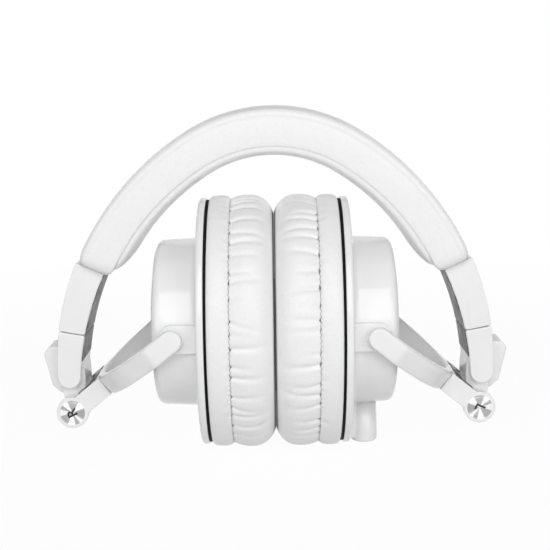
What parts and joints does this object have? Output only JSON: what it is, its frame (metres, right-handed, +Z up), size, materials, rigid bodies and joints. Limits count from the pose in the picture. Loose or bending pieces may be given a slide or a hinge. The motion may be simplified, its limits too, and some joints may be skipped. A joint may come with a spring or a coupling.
{
  "type": "folding over-ear headphones",
  "caption": "White closed-back over-ear headphones, stored with the oval cups folded up inside the padded headband; arms slide, cups fold, swivel and tilt.",
  "frame": {"origin": "On the plane that both ear cushions stand on, midway between the cups and midway from front to back.", "axes": "+X to the wearer's left, +Y to the back of the folded headphones as pictured, +Z up to the crown of the headband."},
  "size_m": [0.182, 0.0862, 0.1342],
  "materials": {
    "white_plastic": "smooth injection-moulded white plastic, semi-gloss",
    "white_leatherette": "white soft leatherette with a fine grain, over foam",
    "black_plastic": "matt black plastic",
    "core_plastic": "unfinished dark plastic, hidden",
    "steel": "bright spring steel",
    "turned_metal": "lathe-turned metal with circular brushing",
    "driver_metal": "dark coated metal",
    "grey_felt": "grey felt",
    "gold_contact": "gold-plated contact sleeve"
  },
  "bodies": {
    "headband": {"headband_cover": "white_leatherette", "headband_core": "core_plastic", "headband_spring": "steel", "headband_cushion": "white_leatherette", "left_end_cap": "white_plastic", "left_end_plate": "white_plastic", "left_cap_screw": "steel", "left_detent_spring": "steel", "right_end_cap": "white_plastic", "right_end_plate": "white_plastic", "right_cap_screw": "steel", "right_detent_spring": "steel"},
    "left_slider": {"left_slider_strip": "steel", "left_hinge_block": "white_plastic", "left_hump_cover": "white_plastic"},
    "left_leaf": {"left_hinge_leaf": "white_plastic", "left_hinge_pin": "steel", "left_hinge_discs": "turned_metal", "left_swivel_pin": "steel"},
    "left_fork": {"left_yoke": "white_plastic"},
    "left_cup": {"left_cup_shell": "white_plastic", "left_pivot_bushes": "steel", "left_back_plate": "white_plastic", "left_baffle": "black_plastic", "left_driver": "driver_metal", "left_driver_grille": "black_plastic", "left_baffle_screws": "steel", "left_damping_foam": "grey_felt", "left_pad_skirt": "white_leatherette", "left_ear_cushion": "white_leatherette", "jack_housing": "white_plastic", "jack_socket": "gold_contact"},
    "right_slider": {"right_slider_strip": "steel", "right_hinge_block": "white_plastic", "right_hump_cover": "white_plastic"},
    "right_leaf": {"right_hinge_leaf": "white_plastic", "right_hinge_pin": "steel", "right_hinge_discs": "turned_metal", "right_swivel_pin": "steel"},
    "right_fork": {"right_yoke": "white_plastic"},
    "right_cup": {"right_cup_shell": "white_plastic", "right_pivot_bushes": "steel", "right_back_plate": "white_plastic", "right_baffle": "black_plastic", "right_driver": "driver_metal", "right_driver_grille": "black_plastic", "right_baffle_screws": "steel", "right_damping_foam": "grey_felt", "right_pad_skirt": "white_leatherette", "right_ear_cushion": "white_leatherette"}
  },
  "joints": [
    {"name": "left_slide", "type": "slide", "parent": "headband", "child": "left_slider", "axis": [0.1736, 0, -0.9848], "range_m": [0, 0.021]},
    {"name": "left_fold", "type": "hinge", "parent": "left_slider", "child": "left_leaf", "pos_m": [0.07961, 0, 0.01651], "axis": [0, -1, 0], "range_deg": [0, 120], "deforming": ["left_ear_cushion"]},
    {"name": "left_swivel", "type": "hinge", "parent": "left_leaf", "child": "left_fork", "pos_m": [0.07961, 0, 0.01651], "axis": [-0.7771, 0, 0.6293], "range_deg": [-15, 15]},
    {"name": "left_tilt", "type": "hinge", "parent": "left_fork", "child": "left_cup", "pos_m": [0.0385, 0, 0.0498], "axis": [0, -1, 0], "range_deg": [-120, 0]},
    {"name": "right_slide", "type": "slide", "parent": "headband", "child": "right_slider", "axis": [-0.1736, 0, -0.9848], "range_m": [0, 0.021]},
    {"name": "right_fold", "type": "hinge", "parent": "right_slider", "child": "right_leaf", "pos_m": [-0.07961, 0, 0.01651], "axis": [0, 1, 0], "range_deg": [0, 120], "deforming": ["right_ear_cushion"]},
    {"name": "right_swivel", "type": "hinge", "parent": "right_leaf", "child": "right_fork", "pos_m": [-0.07961, 0, 0.01651], "axis": [0.7771, 0, 0.6293], "range_deg": [-15, 15]},
    {"name": "right_tilt", "type": "hinge", "parent": "right_fork", "child": "right_cup", "pos_m": [-0.0385, 0, 0.0498], "axis": [0, 1, 0], "range_deg": [-120, 0]}
  ],
  "couplings": [
    {"joint": "left_tilt", "follows": "left_fold", "ratio": -1},
    {"joint": "right_tilt", "follows": "right_fold", "ratio": -1}
  ]
}
